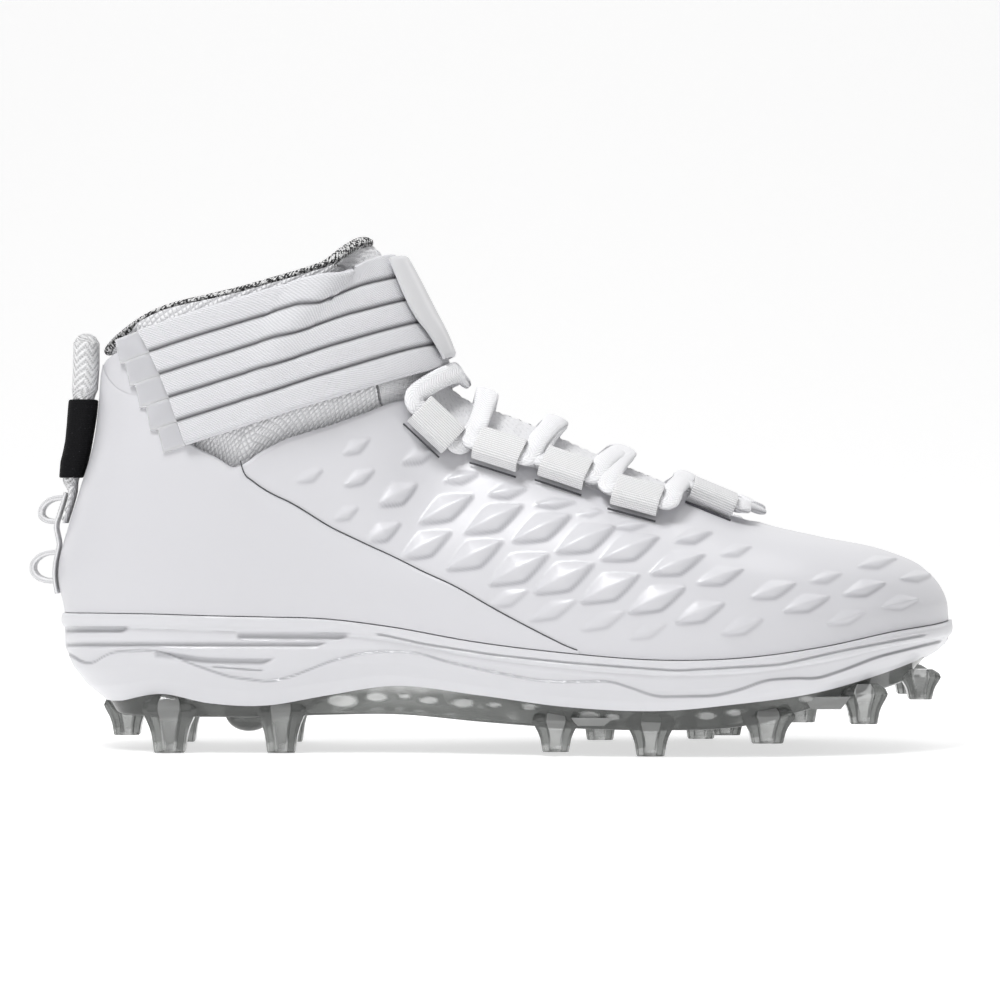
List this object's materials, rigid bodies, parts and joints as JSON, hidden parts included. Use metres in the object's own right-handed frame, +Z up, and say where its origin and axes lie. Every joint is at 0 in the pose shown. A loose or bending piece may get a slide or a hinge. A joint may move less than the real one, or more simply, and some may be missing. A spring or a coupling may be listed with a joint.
{
  "type": "american football cleat",
  "caption": "High-cut right-foot field boot: hollow moulded shell with knit ankle sock, elastic ankle strap, looped lacing, white sole wall and clear studded plate",
  "frame": {"origin": "on the ground under the middle of the shoe's box", "axes": "+X from heel to toe, +Y to the inner (medial) side of the right foot, +Z up"},
  "size_m": [0.308, 0.1022, 0.1668],
  "materials": {
    "outsole": "clear moulded plate and studs, smoky grey, slightly frosted",
    "midsole": "white moulded wall, satin",
    "insole": "knit-faced foam",
    "shell": "white moulded synthetic skin, satin",
    "knit": "white honeycomb knit with a grey speckled rim",
    "elastic": "white woven elastic, fine twill, dark grooves",
    "tab": "smooth bonded tab, light grey",
    "clear_tab": "semi-clear welded tab",
    "lace": "white woven lace",
    "cord": "white braided cord",
    "sleeve": "black woven sleeve",
    "webbing": "white ribbed webbing"
  },
  "bodies": {
    "root": {"outsole": "outsole", "midsole": "midsole", "insole": "insole", "upper": "shell", "collar": "knit", "tongue": "knit", "ankle_strap": "elastic", "strap_end": "tab", "strap_anchor_lateral": "clear_tab", "strap_anchor_medial": "clear_tab", "lace": "lace", "pull_loop": "cord", "pull_loop_sleeve": "sleeve", "heel_webbing": "webbing", "lace_loop_lateral_1": "webbing", "lace_loop_lateral_2": "webbing", "lace_loop_lateral_3": "webbing", "lace_loop_lateral_4": "webbing", "lace_loop_lateral_5": "webbing", "lace_loop_medial_1": "webbing", "lace_loop_medial_2": "webbing", "lace_loop_medial_3": "webbing", "lace_loop_medial_4": "webbing", "lace_loop_medial_5": "webbing"}
  },
  "joints": []
}
